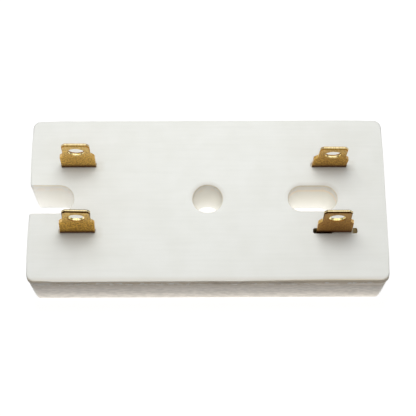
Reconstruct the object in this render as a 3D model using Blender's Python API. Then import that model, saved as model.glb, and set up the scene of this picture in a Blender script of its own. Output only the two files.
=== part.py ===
"""Dual ballast resistor for an ignition coil, in metres, +Z up.

The origin is under the middle of the ceramic body, on its back face, which lies on z = 0.
+X runs along the body from the open notch towards the oblong hole, and +Y to the rear row.
"""
from math import atan2, cos, pi, radians, sin, sqrt, tan

import bmesh
import bpy
from mathutils import Euler, Matrix, Vector

# Ceramic body: its outline at the deck, and how it tapers to the back
BODY_LENGTH = 0.0825
BODY_WIDTH = 0.0399
BODY_HEIGHT = 0.0143
BODY_CORNER_RADIUS = 0.0018
BODY_DRAFT = 0.0004
BODY_RIM_RADIUS = 0.0005
BACK_RIM_CHAMFER = 0.0003

# Faint raised line on the walls, where the pressing dies met
PRESS_LINE_DROP = 0.0019
PRESS_LINE_HEIGHT = 0.0005
PRESS_LINE_PROUD = 0.0001

# Screw openings, all on the middle line of the body
OPENING_RIM_RADIUS = 0.0003
ROUND_HOLE_DIAMETER = 0.0069
OBLONG_HOLE_LENGTH = 0.0113
OBLONG_HOLE_WIDTH = 0.0063
OBLONG_HOLE_FROM_END = 0.01685
NOTCH_WIDTH = 0.0069
NOTCH_DEPTH = 0.0102
NOTCH_MOUTH_RADIUS = 0.0006

# Troughs open at the back, either side of the rib that holds the screw openings
DECK_THICKNESS = 0.0032
RIB_THICKNESS = 0.0116
SIDE_WALL_THICKNESS = 0.00495
END_WALL_THICKNESS = 0.00415
TROUGH_CORNER_RADIUS = 0.0015
TROUGH_DRAFT = 0.0003

# Terminal stamping: the blade's height is taken from the deck
SHEET_THICKNESS = 0.0008
BLADE_WIDTH = 0.00635
BLADE_HEIGHT = 0.01205
TIP_CORNER = 0.0007
BLADE_EDGE_BEVEL = 0.0002
BLADE_HOLE_DIAMETER = 0.0039
BLADE_HOLE_BELOW_TIP = 0.0034
SHOULDER_WIDTH = 0.008
SHOULDER_BELOW_TIP = 0.0053
SHOULDER_SLOPE = 0.0013
FOOT_WIDTH = 0.0112
FOOT_HEIGHT = 0.0016
TONGUE_WIDTH = 0.003
TONGUE_LENGTH = 0.0032
HOOK_LIP = 0.0011

# Where each terminal stands: its end (1 is +X) and row (1 is +Y), its distance from that end of
# the body and from the middle of its trough towards the rib, how much deeper it is seated, and
# its lean to +X and tilt to -Y in degrees
TERMINALS = {
    "terminal_rear_left": {"end": -1, "row": 1, "from_end": 0.01115, "inward": 0.0019,
                           "drop": 0.0, "lean": 0.9, "tilt": 0.4},
    "terminal_rear_right": {"end": 1, "row": 1, "from_end": 0.01285, "inward": 0.002,
                            "drop": 0.0009, "lean": 1.7, "tilt": 2.6},
    "terminal_front_left": {"end": -1, "row": -1, "from_end": 0.01125, "inward": 0.0025,
                            "drop": 0.0, "lean": 3.5, "tilt": -1.8},
    "terminal_front_right": {"end": 1, "row": -1, "from_end": 0.01225, "inward": 0.0024,
                             "drop": 0.0, "lean": -0.3, "tilt": -0.8},
}

# Slots: the front right one was pressed longer than the others, so its ends show at the blade
SLOT_CORNER_RADIUS = 0.0004
LONG_SLOT_TERMINAL = "terminal_front_right"
LONG_SLOT_LENGTH = 0.0102
LONG_SLOT_SHIFT = 0.0003

# Resistance wire: a heavy low-ohm coil in front, a fine high-ohm one in the rear
HEAVY_WIRE_DIAMETER = 0.0009
HEAVY_COIL_DIAMETER = 0.0048
HEAVY_COIL_PITCH = 0.0026
FINE_WIRE_DIAMETER = 0.00035
FINE_COIL_DIAMETER = 0.0044
FINE_COIL_PITCH = 0.0015
COIL_LEAD_LENGTH = 0.0075
COIL_EASE_LENGTH = 0.003

# Cement: sunk a little below the back face, and how far a plug runs past its terminal's foot
CEMENT_RECESS = 0.0007
PLUG_MARGIN = 0.0009

# Gap kept between pieces that touch in the real object, and round a blade in its slot
TOUCH_GAP = 0.0003
SLOT_GAP = 0.0002

# How far a cutter runs past the face that it opens, and the step between two rooms side by side
OVERCUT = 0.001
POCKET_STEP = 0.0001

# Corners closer than this are one corner, and faces that meet at more than this angle are crisp
MERGE_DISTANCE = 0.000001
CRISP_ANGLE = radians(35)

# Sides of the round forms
CORNER_SEGMENTS = 5
OPENING_SEGMENTS = 8
SLOT_CORNER_SEGMENTS = 2
RIM_SEGMENTS = 3
HOOK_SEGMENTS = 6
BLADE_HOLE_SEGMENTS = 28
HEAVY_STEPS_PER_TURN = 12
HEAVY_WIRE_RESOLUTION = 2
FINE_STEPS_PER_TURN = 9
FINE_WIRE_RESOLUTION = 1

# Each finish: colour, roughness and metallic value
FINISHES = {
    "pressed_steatite": ((0.80, 0.80, 0.77), 0.45, 0.0),
    "tab_brass": ((0.60, 0.40, 0.13), 0.32, 1.0),
    "resistance_wire": ((0.33, 0.31, 0.29), 0.40, 1.0),
    "ballast_cement": ((0.62, 0.60, 0.55), 0.85, 0.0),
}

# Heights and places that follow from the sizes above, with the troughs as they are under the deck
DECK_UNDERSIDE = BODY_HEIGHT - DECK_THICKNESS
DECK_MIDDLE = BODY_HEIGHT - DECK_THICKNESS / 2
TROUGH_LENGTH = BODY_LENGTH - 2 * END_WALL_THICKNESS
TROUGH_WIDTH = (BODY_WIDTH - RIB_THICKNESS) / 2 - SIDE_WALL_THICKNESS
TROUGH_Y = (RIB_THICKNESS + TROUGH_WIDTH) / 2

# Heights in a terminal's own frame, whose origin is in the middle of the deck
LARGEST_LEAN = radians(max(abs(terminal["lean"]) for terminal in TERMINALS.values()))
LARGEST_TILT = radians(max(abs(terminal["tilt"]) for terminal in TERMINALS.values()))
TIP = DECK_THICKNESS / 2 + BLADE_HEIGHT
SHOULDER = TIP - SHOULDER_BELOW_TIP
FOOT_TOP = -DECK_THICKNESS / 2 - TOUCH_GAP - FOOT_WIDTH / 2 * tan(LARGEST_LEAN)
FOOT_BOTTOM = FOOT_TOP - FOOT_HEIGHT
HOOK_BORE = HEAVY_WIRE_DIAMETER + 2 * TOUCH_GAP
HOOK_Y = (SHEET_THICKNESS + HOOK_BORE) / 2
HOOK_Z = FOOT_BOTTOM - TONGUE_LENGTH
HOOK_OUTSIDE = HOOK_BORE / 2 + SHEET_THICKNESS


def add_material(name):
    """A Principled material with one of the finishes."""
    colour, roughness, metallic = FINISHES[name]
    material = bpy.data.materials.new(name)
    material.use_nodes = True
    shader = material.node_tree.nodes["Principled BSDF"]
    shader.inputs["Base Color"].default_value = (*colour, 1)
    shader.inputs["Roughness"].default_value = roughness
    shader.inputs["Metallic"].default_value = metallic
    material.diffuse_color = (*colour, 1)
    return material


def add_object(name, mesh, material=None, matrix=None):
    """Turn a finished bmesh into an object, with its faces pointing outwards."""
    bmesh.ops.recalc_face_normals(mesh, faces=mesh.faces)
    data = bpy.data.meshes.new(name)
    mesh.to_mesh(data)
    mesh.free()
    thing = bpy.data.objects.new(name, data)
    bpy.context.collection.objects.link(thing)
    if material:
        data.materials.append(material)
    if matrix:
        thing.matrix_world = matrix
    shade(data)
    return thing


def shade(data):
    """Smooth shading on round forms, with crisp edges between faces that meet at an angle."""
    data.shade_smooth()
    data.set_sharp_from_angle(angle=CRISP_ANGLE)


def cut(target, cutters):
    """Take the cutters' shapes out of the target, and remove the cutters."""
    for cutter in cutters:
        boolean = target.modifiers.new(cutter.name, "BOOLEAN")
        boolean.operation = "DIFFERENCE"
        boolean.solver = "EXACT"
        boolean.object = cutter
    bpy.context.view_layer.update()
    evaluated = target.evaluated_get(bpy.context.evaluated_depsgraph_get())
    uncut = target.data
    target.modifiers.clear()
    target.data = bpy.data.meshes.new_from_object(evaluated)
    target.data.name = target.name
    bpy.data.meshes.remove(uncut)
    for cutter in cutters:
        bpy.data.meshes.remove(cutter.data)
    shade(target.data)


def arc(centre, radius, start, turn, segments):
    """Points of a circular arc, from one angle through a turn."""
    angles = [start + turn * step / segments for step in range(segments + 1)]
    return [(centre[0] + radius * cos(angle), centre[1] + radius * sin(angle)) for angle in angles]


def terminal_place(terminal):
    """The x and y of the middle of a terminal's slot."""
    return (terminal["end"] * (BODY_LENGTH / 2 - terminal["from_end"]),
            terminal["row"] * (TROUGH_Y - terminal["inward"]))


def rounded_rectangle(centre, length, width, radius, z, segments):
    """Points of a rectangle with round corners, anticlockwise, at one height."""
    points = []
    for quarter, (along, across) in enumerate(((1, 1), (-1, 1), (-1, -1), (1, -1))):
        corner = (centre[0] + along * (length / 2 - radius),
                  centre[1] + across * (width / 2 - radius))
        points += arc(corner, radius, quarter * pi / 2, pi / 2, segments)
    return [(x, y, z) for x, y in points]


def loft(rings):
    """A closed solid through rings that all have as many points."""
    mesh = bmesh.new()
    loops = []
    for ring in rings:
        corners = [mesh.verts.new(point) for point in ring]
        loops.append([mesh.edges.new(pair) for pair in zip(corners, corners[1:] + corners[:1])])
    for lower, upper in zip(loops, loops[1:]):
        bmesh.ops.bridge_loops(mesh, edges=lower + upper)
    bmesh.ops.contextual_create(mesh, geom=loops[0])
    bmesh.ops.contextual_create(mesh, geom=loops[-1])
    bmesh.ops.remove_doubles(mesh, verts=mesh.verts, dist=MERGE_DISTANCE)
    return mesh


def box(low, high):
    """A plain box between two corners."""
    mesh = bmesh.new()
    low, high = Vector(low), Vector(high)
    size = Matrix.Diagonal((*(high - low), 1))
    bmesh.ops.create_cube(mesh, size=1, matrix=Matrix.Translation((low + high) / 2) @ size)
    return mesh


def rim_levels(height, radius):
    """Height and growth of the rings that round a rim, from the wall up to the face above it."""
    levels = []
    for step in range(RIM_SEGMENTS + 1):
        angle = pi / 2 * step / RIM_SEGMENTS
        levels.append((height - radius + radius * sin(angle), radius - radius * cos(angle)))
    return levels


def build_ceramic_body(material):
    """The pressed block: tapered, with a rounded upper rim, then cut from both sides."""
    def ring(z, inset):
        return rounded_rectangle((0, 0), BODY_LENGTH - 2 * inset, BODY_WIDTH - 2 * inset,
                                 BODY_CORNER_RADIUS - inset, z, CORNER_SEGMENTS)

    def draft(z):
        return BODY_DRAFT * (1 - z / BODY_HEIGHT)

    line = BODY_HEIGHT - PRESS_LINE_DROP
    rings = [ring(0, draft(0) + BACK_RIM_CHAMFER), ring(BACK_RIM_CHAMFER, draft(BACK_RIM_CHAMFER))]
    for z, proud in ((line - PRESS_LINE_HEIGHT / 2, 0), (line, PRESS_LINE_PROUD),
                     (line + PRESS_LINE_HEIGHT / 2, 0)):
        rings.append(ring(z, draft(z) - proud))
    rings += [ring(z, growth) for z, growth in rim_levels(BODY_HEIGHT, BODY_RIM_RADIUS)]
    body = add_object("ceramic_body", loft(rings), material)
    cut(body, [*screw_openings(), *troughs(), *slots()])
    return body


def screw_openings():
    """Cutters for the round hole, the oblong hole and the notch, with rounded rims at the deck."""
    levels = [(-OVERCUT, 0), *rim_levels(BODY_HEIGHT, OPENING_RIM_RADIUS),
              (BODY_HEIGHT + OVERCUT, OPENING_RIM_RADIUS)]
    cutters = [add_object("notch", loft([notch_ring(z, growth) for z, growth in levels]))]
    oblong_x = BODY_LENGTH / 2 - OBLONG_HOLE_FROM_END
    for name, x, length, width in (
            ("round_hole", 0, ROUND_HOLE_DIAMETER, ROUND_HOLE_DIAMETER),
            ("oblong_hole", oblong_x, OBLONG_HOLE_LENGTH, OBLONG_HOLE_WIDTH)):
        rings = [rounded_rectangle((x, 0), length + 2 * growth, width + 2 * growth,
                                   width / 2 + growth, z, OPENING_SEGMENTS)
                 for z, growth in levels]
        cutters.append(add_object(name, loft(rings)))
    return cutters


def notch_ring(z, growth):
    """The notch's outline at one height: a round end, straight sides and a softened mouth."""
    end_x = -BODY_LENGTH / 2
    half_width = NOTCH_WIDTH / 2
    mouth_centre = (end_x + NOTCH_MOUTH_RADIUS, half_width + NOTCH_MOUTH_RADIUS)
    closed_centre = (end_x + NOTCH_DEPTH - half_width, 0)
    side = [(end_x - OVERCUT, mouth_centre[1])]
    side += arc(mouth_centre, NOTCH_MOUTH_RADIUS - growth, pi, pi / 2, RIM_SEGMENTS)
    side += arc(closed_centre, half_width + growth, pi / 2, -pi / 2, OPENING_SEGMENTS)
    other_side = [(x, -y) for x, y in reversed(side[:-1])]
    return [(x, y, z) for x, y in side + other_side]


def trough_ring(side, z, inset):
    """The outline of a trough at one height: a little wider at the back than under the deck."""
    inset -= TROUGH_DRAFT * (1 - z / DECK_UNDERSIDE)
    return rounded_rectangle((0, side * TROUGH_Y), TROUGH_LENGTH - 2 * inset,
                             TROUGH_WIDTH - 2 * inset, TROUGH_CORNER_RADIUS - inset,
                             z, CORNER_SEGMENTS)


def troughs():
    """Cutters for the two troughs."""
    return [add_object(name, loft([trough_ring(side, z, 0) for z in (-OVERCUT, DECK_UNDERSIDE)]))
            for name, side in (("rear_trough", 1), ("front_trough", -1))]


def slots():
    """Cutters for the slot of each terminal, with room for its lean and tilt through the deck."""
    cutters = []
    for name, terminal in TERMINALS.items():
        reach = DECK_THICKNESS / 2 + terminal["drop"]
        length = SHOULDER_WIDTH + 2 * (SLOT_GAP + reach * tan(radians(abs(terminal["lean"]))))
        width = SHEET_THICKNESS + 2 * (SLOT_GAP + DECK_THICKNESS / 2 * tan(LARGEST_TILT))
        x, y = terminal_place(terminal)
        if name == LONG_SLOT_TERMINAL:
            length = max(length, LONG_SLOT_LENGTH)
            x += LONG_SLOT_SHIFT
        rings = [rounded_rectangle((x, y), length, width, SLOT_CORNER_RADIUS, z,
                                   SLOT_CORNER_SEGMENTS)
                 for z in (DECK_UNDERSIDE - OVERCUT, BODY_HEIGHT + OVERCUT)]
        cutters.append(add_object(name + "_slot", loft(rings)))
    return cutters


def terminal_matrix(terminal):
    """Where a terminal stands: turned about the middle of the deck, and pushed in by its drop."""
    turn = Euler((radians(terminal["tilt"]), radians(terminal["lean"]), 0)).to_matrix().to_4x4()
    place = Matrix.Translation((*terminal_place(terminal), DECK_MIDDLE))
    return place @ turn @ Matrix.Translation((0, 0, -terminal["drop"]))


def build_terminal(name, material):
    """A blade stamped from sheet, whose tongue is curled into a hook that holds the wire."""
    terminal = TERMINALS[name]
    half = [
        (BLADE_WIDTH / 2 - TIP_CORNER, TIP),
        (BLADE_WIDTH / 2, TIP - TIP_CORNER),
        (BLADE_WIDTH / 2, SHOULDER),
        (SHOULDER_WIDTH / 2, SHOULDER - SHOULDER_SLOPE),
        (SHOULDER_WIDTH / 2, FOOT_TOP),
        (FOOT_WIDTH / 2, FOOT_TOP),
        (FOOT_WIDTH / 2, FOOT_BOTTOM),
        (TONGUE_WIDTH / 2, FOOT_BOTTOM),
        (TONGUE_WIDTH / 2, HOOK_Z),
    ]
    outline = half + [(-x, z) for x, z in reversed(half)]
    mesh = bmesh.new()
    sheet = mesh.faces.new([mesh.verts.new((x, -SHEET_THICKNESS / 2, z)) for x, z in outline])
    grown = bmesh.ops.extrude_face_region(mesh, geom=[sheet])["geom"]
    back = [item for item in grown if isinstance(item, bmesh.types.BMVert)]
    bmesh.ops.translate(mesh, verts=back, vec=(0, SHEET_THICKNESS, 0))
    curl_hook(mesh, terminal["row"])
    bevel_blade(mesh)
    matrix = terminal_matrix(terminal)
    blade = add_object(name, mesh, material, matrix)
    cut(blade, [add_object(name + "_hole", blade_hole(), matrix=matrix)])
    return blade


def curl_hook(mesh, row):
    """Turn the tongue's end through half a circle round the wire, and add a straight lip."""
    end = min(mesh.faces, key=lambda face: face.calc_center_median().z)
    turn = Matrix.Rotation(row * pi / HOOK_SEGMENTS, 3, "X")
    for _ in range(HOOK_SEGMENTS):
        end = bmesh.ops.extrude_discrete_faces(mesh, faces=[end])["faces"][0]
        bmesh.ops.rotate(mesh, verts=end.verts, cent=(0, row * HOOK_Y, HOOK_Z), matrix=turn)
    end = bmesh.ops.extrude_discrete_faces(mesh, faces=[end])["faces"][0]
    bmesh.ops.translate(mesh, verts=end.verts, vec=(0, 0, HOOK_LIP))


def bevel_blade(mesh):
    """Coin the edges of the blade above its shoulders, so that a connector slides on."""
    def is_coined(edge):
        along_sheet = abs(edge.verts[0].co.y - edge.verts[1].co.y) < SHEET_THICKNESS / 2
        lowest = min(corner.co.z for corner in edge.verts)
        return along_sheet and lowest > SHOULDER - SHOULDER_SLOPE / 2

    bmesh.ops.bevel(mesh, geom=[edge for edge in mesh.edges if is_coined(edge)],
                    offset=BLADE_EDGE_BEVEL, offset_type="OFFSET", segments=1, profile=0.5,
                    affect="EDGES", material=-1)


def blade_hole():
    """Cutter for the round hole that a connector's dimple drops into."""
    mesh = bmesh.new()
    centre = Matrix.Translation((0, 0, TIP - BLADE_HOLE_BELOW_TIP))
    bmesh.ops.create_cone(mesh, cap_ends=True, segments=BLADE_HOLE_SEGMENTS,
                          radius1=BLADE_HOLE_DIAMETER / 2, radius2=BLADE_HOLE_DIAMETER / 2,
                          depth=SHEET_THICKNESS + 2 * OVERCUT,
                          matrix=centre @ Matrix.Rotation(pi / 2, 4, "X"))
    return mesh


def hook_centre(name):
    """Where a terminal's hook holds the wire."""
    terminal = TERMINALS[name]
    return terminal_matrix(terminal) @ Vector((0, terminal["row"] * HOOK_Y, HOOK_Z))


class Coil:
    """The path of a resistance wire from a left hook to a right one, and its helix between."""

    def __init__(self, left, right, wire_diameter, coil_diameter, pitch):
        self.wire_diameter = wire_diameter
        self.radius = coil_diameter / 2
        self.hooks = hook_centre(left), hook_centre(right)
        self.axis_y = TERMINALS[left]["row"] * TROUGH_Y
        lead = Vector((COIL_LEAD_LENGTH, 0, 0))
        self.lead_ends = self.hooks[0] + lead, self.hooks[1] - lead
        self.length = self.lead_ends[1].x - self.lead_ends[0].x
        self.turns = round(self.length / pitch)
        self.axis_ends = [Vector((end.x, self.axis_y, end.z + self.rise(end)))
                          for end in self.lead_ends]

    def rise(self, end):
        """Height of the axis over a lead, where the lead runs into the side of the helix."""
        aside = min(abs(end.y - self.axis_y), self.radius)
        return sqrt(self.radius ** 2 - aside ** 2)

    def turned_share(self, share):
        """How much of the winding is done at a share of the length: it starts and ends gently."""
        ease = COIL_EASE_LENGTH / self.length
        if share < ease:
            return share ** 2 / (2 * ease * (1 - ease))
        if share > 1 - ease:
            return 1 - (1 - share) ** 2 / (2 * ease * (1 - ease))
        return (share - ease / 2) / (1 - ease)

    def points(self, steps_per_turn):
        """Straight through the left hook, round the helix and through the right hook."""
        first, last = [atan2(end.z - axis.z, end.y - axis.y)
                       for end, axis in zip(self.lead_ends, self.axis_ends)]
        whole_turn = 2 * pi * self.turns + last - first
        steps = self.turns * steps_per_turn
        path = [self.hooks[0] - Vector((TONGUE_WIDTH / 2, 0, 0))]
        for step in range(steps + 1):
            angle = first + whole_turn * self.turned_share(step / steps)
            axis = self.axis_ends[0].lerp(self.axis_ends[1], step / steps)
            path.append(axis + self.radius * Vector((0, cos(angle), sin(angle))))
        path.append(self.hooks[1] + Vector((TONGUE_WIDTH / 2, 0, 0)))
        return path


def build_coil(name, coil, steps_per_turn, resolution, material):
    """Round wire along the coil's path."""
    path = coil.points(steps_per_turn)
    data = bpy.data.curves.new(name, "CURVE")
    data.dimensions = "3D"
    data.bevel_depth = coil.wire_diameter / 2
    data.bevel_resolution = resolution
    data.use_fill_caps = True
    spline = data.splines.new("POLY")
    spline.points.add(len(path) - 1)
    for point, place in zip(spline.points, path):
        point.co = (*place, 1)
    data.materials.append(material)
    wire = bpy.data.objects.new(name, data)
    bpy.context.collection.objects.link(wire)
    return wire


def channel(name, start, end, radius):
    """Cutter for a round-bottomed channel between two points, open up to the deck."""
    rings = []
    for centre in (start, end):
        floor = arc((centre.y, centre.z), radius, pi, pi, OPENING_SEGMENTS)
        ring = [Vector((centre.x, y, z)) for y, z in floor]
        ring.append(Vector((centre.x, centre.y + radius, DECK_UNDERSIDE)))
        ring.append(Vector((centre.x, centre.y - radius, DECK_UNDERSIDE)))
        rings.append(ring)
    return add_object(name, loft(rings))


def coil_room(name, coil):
    """Cutters for the channels that a coil and its two leads lie in."""
    radius = coil.wire_diameter / 2 + TOUCH_GAP
    margin = Vector((TOUCH_GAP, 0, 0))
    cutters = [channel(name + "_coil", coil.axis_ends[0] - margin, coil.axis_ends[1] + margin,
                       coil.radius + radius)]
    for number, (hook, end) in enumerate(zip(coil.hooks, coil.lead_ends)):
        cutters.append(channel(f"{name}_lead_{number}", hook, end, radius))
    return cutters


def terminal_room(name):
    """Cutters for the pocket that a terminal's foot, tongue and hook lie in."""
    terminal = TERMINALS[name]
    matrix = terminal_matrix(terminal)
    ceiling = -DECK_THICKNESS / 2 + OVERCUT
    near = SHEET_THICKNESS / 2 + TOUCH_GAP
    far = HOOK_Y + HOOK_OUTSIDE + TOUCH_GAP
    hook_y = sorted((-terminal["row"] * (near + POCKET_STEP), terminal["row"] * far))
    foot_x = FOOT_WIDTH / 2 + TOUCH_GAP
    tongue_x = TONGUE_WIDTH / 2 + TOUCH_GAP
    foot = box((-foot_x, -near, FOOT_BOTTOM - TOUCH_GAP), (foot_x, near, ceiling))
    tongue = box((-tongue_x, hook_y[0], HOOK_Z - HOOK_OUTSIDE - TOUCH_GAP),
                 (tongue_x, hook_y[1], ceiling))
    return [add_object(name + "_foot_room", foot, matrix=matrix),
            add_object(name + "_tongue_room", tongue, matrix=matrix)]


def build_cement(name, coil, held, material, unfilled=None):
    """Cement in a trough, but for an unfilled stretch, cast round the terminals that it holds."""
    row = TERMINALS[held[0]]["row"]
    rings = [trough_ring(row, z, TOUCH_GAP) for z in (CEMENT_RECESS, DECK_UNDERSIDE - TOUCH_GAP)]
    cement = add_object(name, loft(rings), material)
    cutters = coil_room(name, coil)
    for terminal in held:
        cutters += terminal_room(terminal)
    if unfilled:
        start, stop = unfilled
        free = box((start, -BODY_WIDTH / 2, -OVERCUT), (stop, BODY_WIDTH / 2, BODY_HEIGHT))
        cutters.append(add_object(name + "_free_stretch", free))
    cut(cement, cutters)
    return cement


def build():
    """Every piece of the resistor."""
    ceramic, brass, wire, cement = [add_material(name) for name in FINISHES]
    build_ceramic_body(ceramic)
    for name in TERMINALS:
        build_terminal(name, brass)

    heavy = Coil("terminal_front_left", "terminal_front_right",
                 HEAVY_WIRE_DIAMETER, HEAVY_COIL_DIAMETER, HEAVY_COIL_PITCH)
    fine = Coil("terminal_rear_left", "terminal_rear_right",
                FINE_WIRE_DIAMETER, FINE_COIL_DIAMETER, FINE_COIL_PITCH)
    build_coil("heavy_coil", heavy, HEAVY_STEPS_PER_TURN, HEAVY_WIRE_RESOLUTION, wire)
    build_coil("fine_coil", fine, FINE_STEPS_PER_TURN, FINE_WIRE_RESOLUTION, wire)

    body_end = BODY_LENGTH / 2
    plug_reach = FOOT_WIDTH / 2 + PLUG_MARGIN
    left_plug_stop = terminal_place(TERMINALS["terminal_front_left"])[0] + plug_reach
    right_plug_start = terminal_place(TERMINALS["terminal_front_right"])[0] - plug_reach
    build_cement("cement_block_rear", fine, ["terminal_rear_left", "terminal_rear_right"], cement)
    build_cement("cement_plug_front_left", heavy, ["terminal_front_left"], cement,
                 unfilled=(left_plug_stop, body_end))
    build_cement("cement_plug_front_right", heavy, ["terminal_front_right"], cement,
                 unfilled=(-body_end, right_plug_start))


for leftover in list(bpy.data.objects):
    bpy.data.objects.remove(leftover)
build()
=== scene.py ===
"""Looks of a dual ignition ballast resistor: a pressed steatite block with four brass blades.

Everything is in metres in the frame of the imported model: +X runs from the notch to the oblong
hole, +Y to the rear row of blades, and the block's back lies on z = 0.
"""
from math import pi, radians

import bmesh
import bpy
from mathutils import Matrix, Vector, noise


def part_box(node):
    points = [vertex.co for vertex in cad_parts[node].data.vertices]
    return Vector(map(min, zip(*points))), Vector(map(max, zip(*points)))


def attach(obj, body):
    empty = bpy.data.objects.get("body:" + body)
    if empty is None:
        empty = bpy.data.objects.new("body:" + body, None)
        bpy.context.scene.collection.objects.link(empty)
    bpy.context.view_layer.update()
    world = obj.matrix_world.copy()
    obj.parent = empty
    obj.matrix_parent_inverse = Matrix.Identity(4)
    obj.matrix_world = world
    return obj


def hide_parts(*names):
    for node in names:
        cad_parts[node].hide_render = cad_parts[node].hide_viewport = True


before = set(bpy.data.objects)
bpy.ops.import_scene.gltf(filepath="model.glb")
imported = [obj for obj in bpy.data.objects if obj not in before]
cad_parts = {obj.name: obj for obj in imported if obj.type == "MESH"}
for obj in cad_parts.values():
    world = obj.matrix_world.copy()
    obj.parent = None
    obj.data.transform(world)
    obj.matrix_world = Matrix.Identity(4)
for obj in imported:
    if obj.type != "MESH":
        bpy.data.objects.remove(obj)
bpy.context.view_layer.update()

MM = 0.001

# Camera, found from the block's outline in the photograph
CAMERA_ELEVATION = 68.9
CAMERA_YAW = -0.42
CAMERA_ROLL = 0.19
CAMERA_LENS = 106.4
CAMERA_SENSOR = 36
CAMERA_DISTANCE = 284.3 * MM
CAMERA_TARGET = Vector((0.09, -2.30, 14.3)) * MM

# Light: a softbox over the block's rear, a room that is brighter above than at the horizon, as the
# blades mirror it and as it fills the shade, and the glow of the light table under the block. The
# room's brightness rises between two heights, each the sine of its angle over the horizon
KEY_PLACE = Vector((-6, 44, 165)) * MM
KEY_SIZE = 97 * MM
KEY_POWER = 0.15
ROOM_RISE = 0.3, 0.75
ROOM_LIGHT = 0.25, 1.44
FILL_RISE = 0.5, 0.9
FILL_LIGHT = 0.1, 0.73
GLOW_UNDER = 0.8
GLOW_NEAR = 2.08
GLOW_FAR = 0.06
GLOW_REACH = 11.5 * MM
FLOOR_DROP = 0.02 * MM
FLOOR_SIZE = 3.0
FLOOR_WHITE = 0.88

# Light in each opening: the middle, length and width of its pane of the table in millimetres,
# the pane's radiance, that of the wall nearest the camera, which lights the far one, and how
# high that wall's light is centred, as a share of the deck's height; then, as such shares too,
# how tall that light is, and how tall and how high the light at the notch's mouth
PANES = [(-38.5, 9.0, 6.2, 0.56, 0.5, 1.4), (0, 6.2, 6.2, 0.6, 0.15, 0.82),
         (24.4, 10.4, 5.6, 0.7, 0.11, 0.82)]
BOUNCE_SPAN = 0.9
MOUTH_LIGHT = 0.4
MOUTH_SPAN = 0.8
MOUTH_HEIGHT = 0.6

# Block: how far under the deck the press line lies, where the dies met, and the painted highlights
# and painted shadow along it; how broad the tinted, shade-painted band at the front rim is, and
# how worn the edges are
PRESS_LINE_DROP = 1.9 * MM
DASHES_DROP = 3.1 * MM
FLASH_SHADOW_DROP = 3.3 * MM
FRONT_RIM_BAND = 1.2 * MM
EDGE_WEAR = 0.12 * MM

# Flash along the press line: how proud it is at most, and at the block's ends as a share of that,
# the sizes of its nicks, swells and waves, and the attribute that says where it is proud
FLASH_STEP = 0.3 * MM
FLASH_PROUD = 0.34 * MM
FLASH_AT_ENDS = 0.3
FLASH_NICKS = 0.9 * MM
FLASH_SWELLS = 7 * MM
FLASH_WAVES = 1.7 * MM
FLASH_ATTRIBUTE = "flash"

# Rims of the deck: 1 is crisp, 0 is rounded as in the solid, and less is rounder; the front one
# is crisp from its left end, and all of them fade out at the corners and at the notch
RIM_RADIUS = 0.5 * MM
RIM_STEP = 1.5 * MM
RIM_LIP = 0.1 * MM
RIM_CRISPNESS = 0.9
RIM_CRISPEST = 0.95
SIDE_RIMS = 0.8
REAR_RIM = 0.4
FRONT_RIM_LEAST = -0.5
FRONT_RIM_END = 20 * MM
FRONT_RIM_FADE = 14 * MM
RIM_FADE = 3 * MM
CORNER_REACH = 3 * MM
NOTCH_REACH = 5 * MM

# Screw holes: the middle and half length of the line that each one's round ends are centred on,
# and its radius, in millimetres
SCREW_HOLES = [(0, 0, 3.45), (24.4, 2.5, 3.15)]

# Blades: how far their rows and columns lie from the middle
SLOT_LINE = 8.2 * MM
SLOT_ROW = 29.4 * MM
STAMPED_EDGE = 0.08 * MM
SHEARED_SHARE = 0.12 * MM
TIP_COINING = 0.1 * MM
BLADE_HOLE_REACH = 2.45 * MM
BLADE_HOLE_BELOW_TIP = 3.4 * MM
FOOT_DROP = 1 * MM

# Finishes of a blade, in the order of its material slots, among them painted highlight and painted
# shade, and how much a face has to point along an axis to count as flat on it or as slanted to it
ROLLED, COINED, COINED_SIDE, SHEARED, TORN, SHOULDER, TIP = range(7)
FLAT = 0.95
SLANTED = 0.3

# Cement at the back: how far it has crept out to the trough, and from how far inside its edge;
# the grid its face is cut into, and how high and how broad its lumps are
CEMENT_CREEP = 0.26 * MM
CEMENT_EDGE = 2 * MM
CEMENT_GRID = 0.8 * MM
CEMENT_LUMPS = 0.07 * MM
CEMENT_LUMP_SIZES = 1.3 * MM, 6 * MM

# Meshes
MERGE_DISTANCE = 0.001 * MM
FLAT_ANGLE = radians(1)
SHARP_ANGLE = radians(40)
BLOCK_EDGE_ANGLE = radians(50)
BLADE_EDGE_ANGLE = radians(30)
WIRE_FACE_ANGLE = radians(40)
WIRE_SHAPE_ANGLE = radians(60)

# Each blade: the middle and length of the cement in its slot, in millimetres, and how tarnished
# and how pale the brass is; the cement never reached the ends of the long front right slot
TERMINALS = {
    "terminal_rear_left": ((-30.1, 8.5), 8.45, 0.0, 0.1),
    "terminal_rear_right": ((28.4, 8.4), 8.55, 0.28, 0.0),
    "terminal_front_left": ((-30.0, -7.9), 8.6, 0.04, 0.0),
    "terminal_front_right": ((31.45, -8.0), 5.7, 0.7, 0.0),
}

# Cement in the slots: how wide and deep it is, its lumps, and how far it has sunk under the deck,
# and at the ends of the slot, past that
SLOT_WIDTH = 1.345 * MM
SLOT_FILL = 2.2 * MM
SLOT_FILL_LUMPS = 0.05 * MM
SLOT_LUMP_SIZES = 0.6 * MM, 2.3 * MM
SLOT_FILL_SINK = 0.12 * MM
SLOT_END_SINK = 0.2 * MM
SLOT_FILL_GRID = 56, 8
LONG_SLOT_END = 34.4 * MM

CEMENTS = ["cement_block_rear", "cement_plug_front_left", "cement_plug_front_right"]

# Sockets of the Mix node that blends two colours, and of the one that blends two numbers
MIX_SHARE, MIX_A, MIX_B, MIX_RESULT = 0, 6, 7, 2
NUMBER_A, NUMBER_B, NUMBER_RESULT = 2, 3, 0

LOWEST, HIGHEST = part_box("ceramic_body")
DECK = HIGHEST.z


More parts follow.
